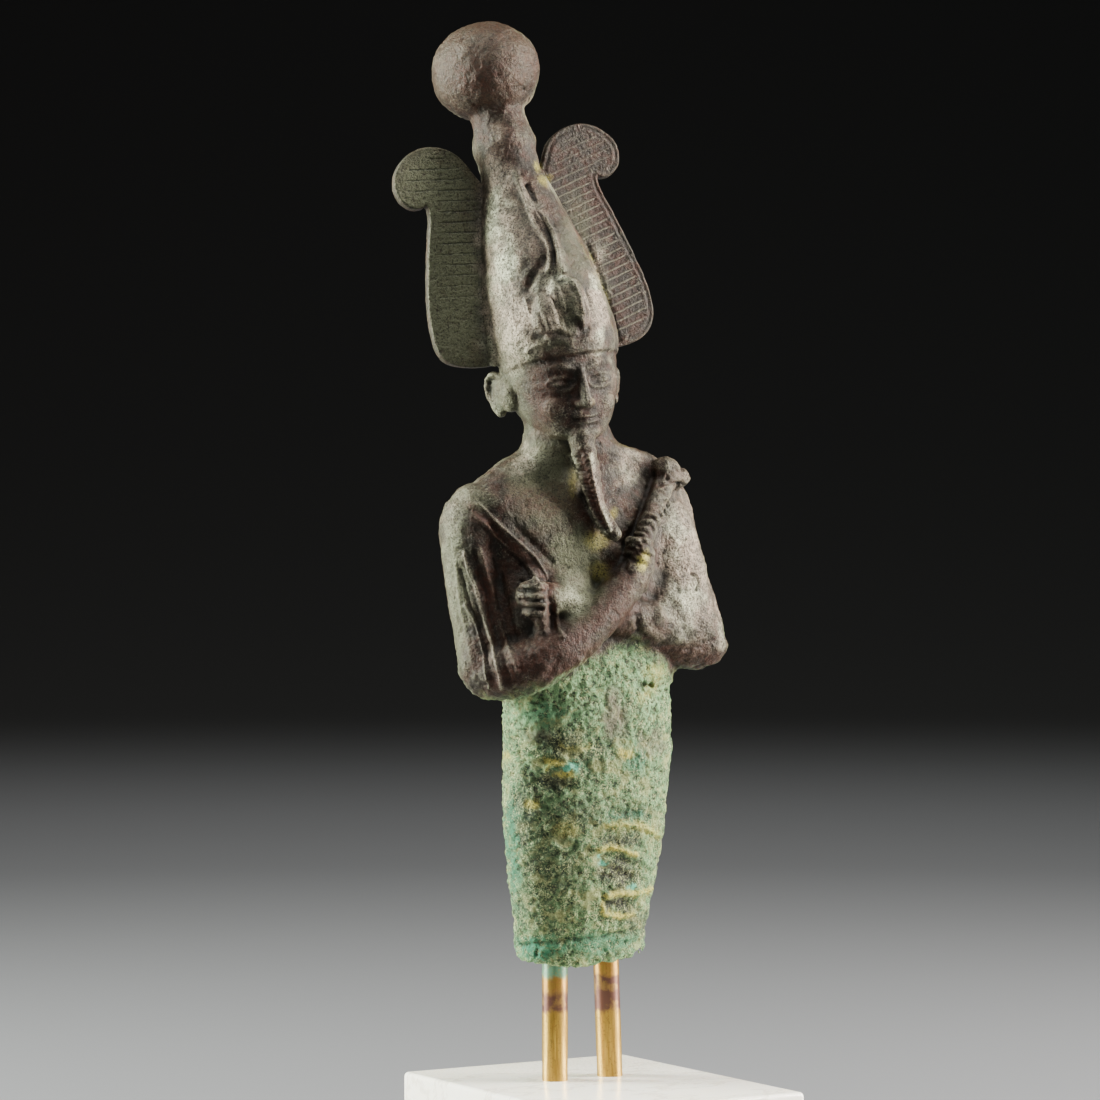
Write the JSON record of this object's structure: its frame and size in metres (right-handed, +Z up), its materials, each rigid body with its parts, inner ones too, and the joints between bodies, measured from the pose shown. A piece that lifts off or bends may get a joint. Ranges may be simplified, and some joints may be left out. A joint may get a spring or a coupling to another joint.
{
  "type": "bronze statuette on a mount",
  "caption": "Standing shrouded king figure in cast bronze with a tall plumed crown, broken at the knees, held by brass rods in a stone block.",
  "frame": {"origin": "centre of the stone block's underside", "axes": "+Z up; the figure faces -Y and its right hand side is towards -X"},
  "size_m": [0.0633, 0.063, 0.2296],
  "materials": {
    "bronze": "dark brown cast bronze with green and ochre corrosion below the arms",
    "brass": "drawn brass rod, lightly tarnished",
    "white_stone": "polished white marble with faint warm veins"
  },
  "bodies": {
    "root": {"osiris_figure": "bronze", "brass_rod_right": "brass", "brass_rod_left": "brass", "stone_block": "white_stone"}
  },
  "joints": []
}
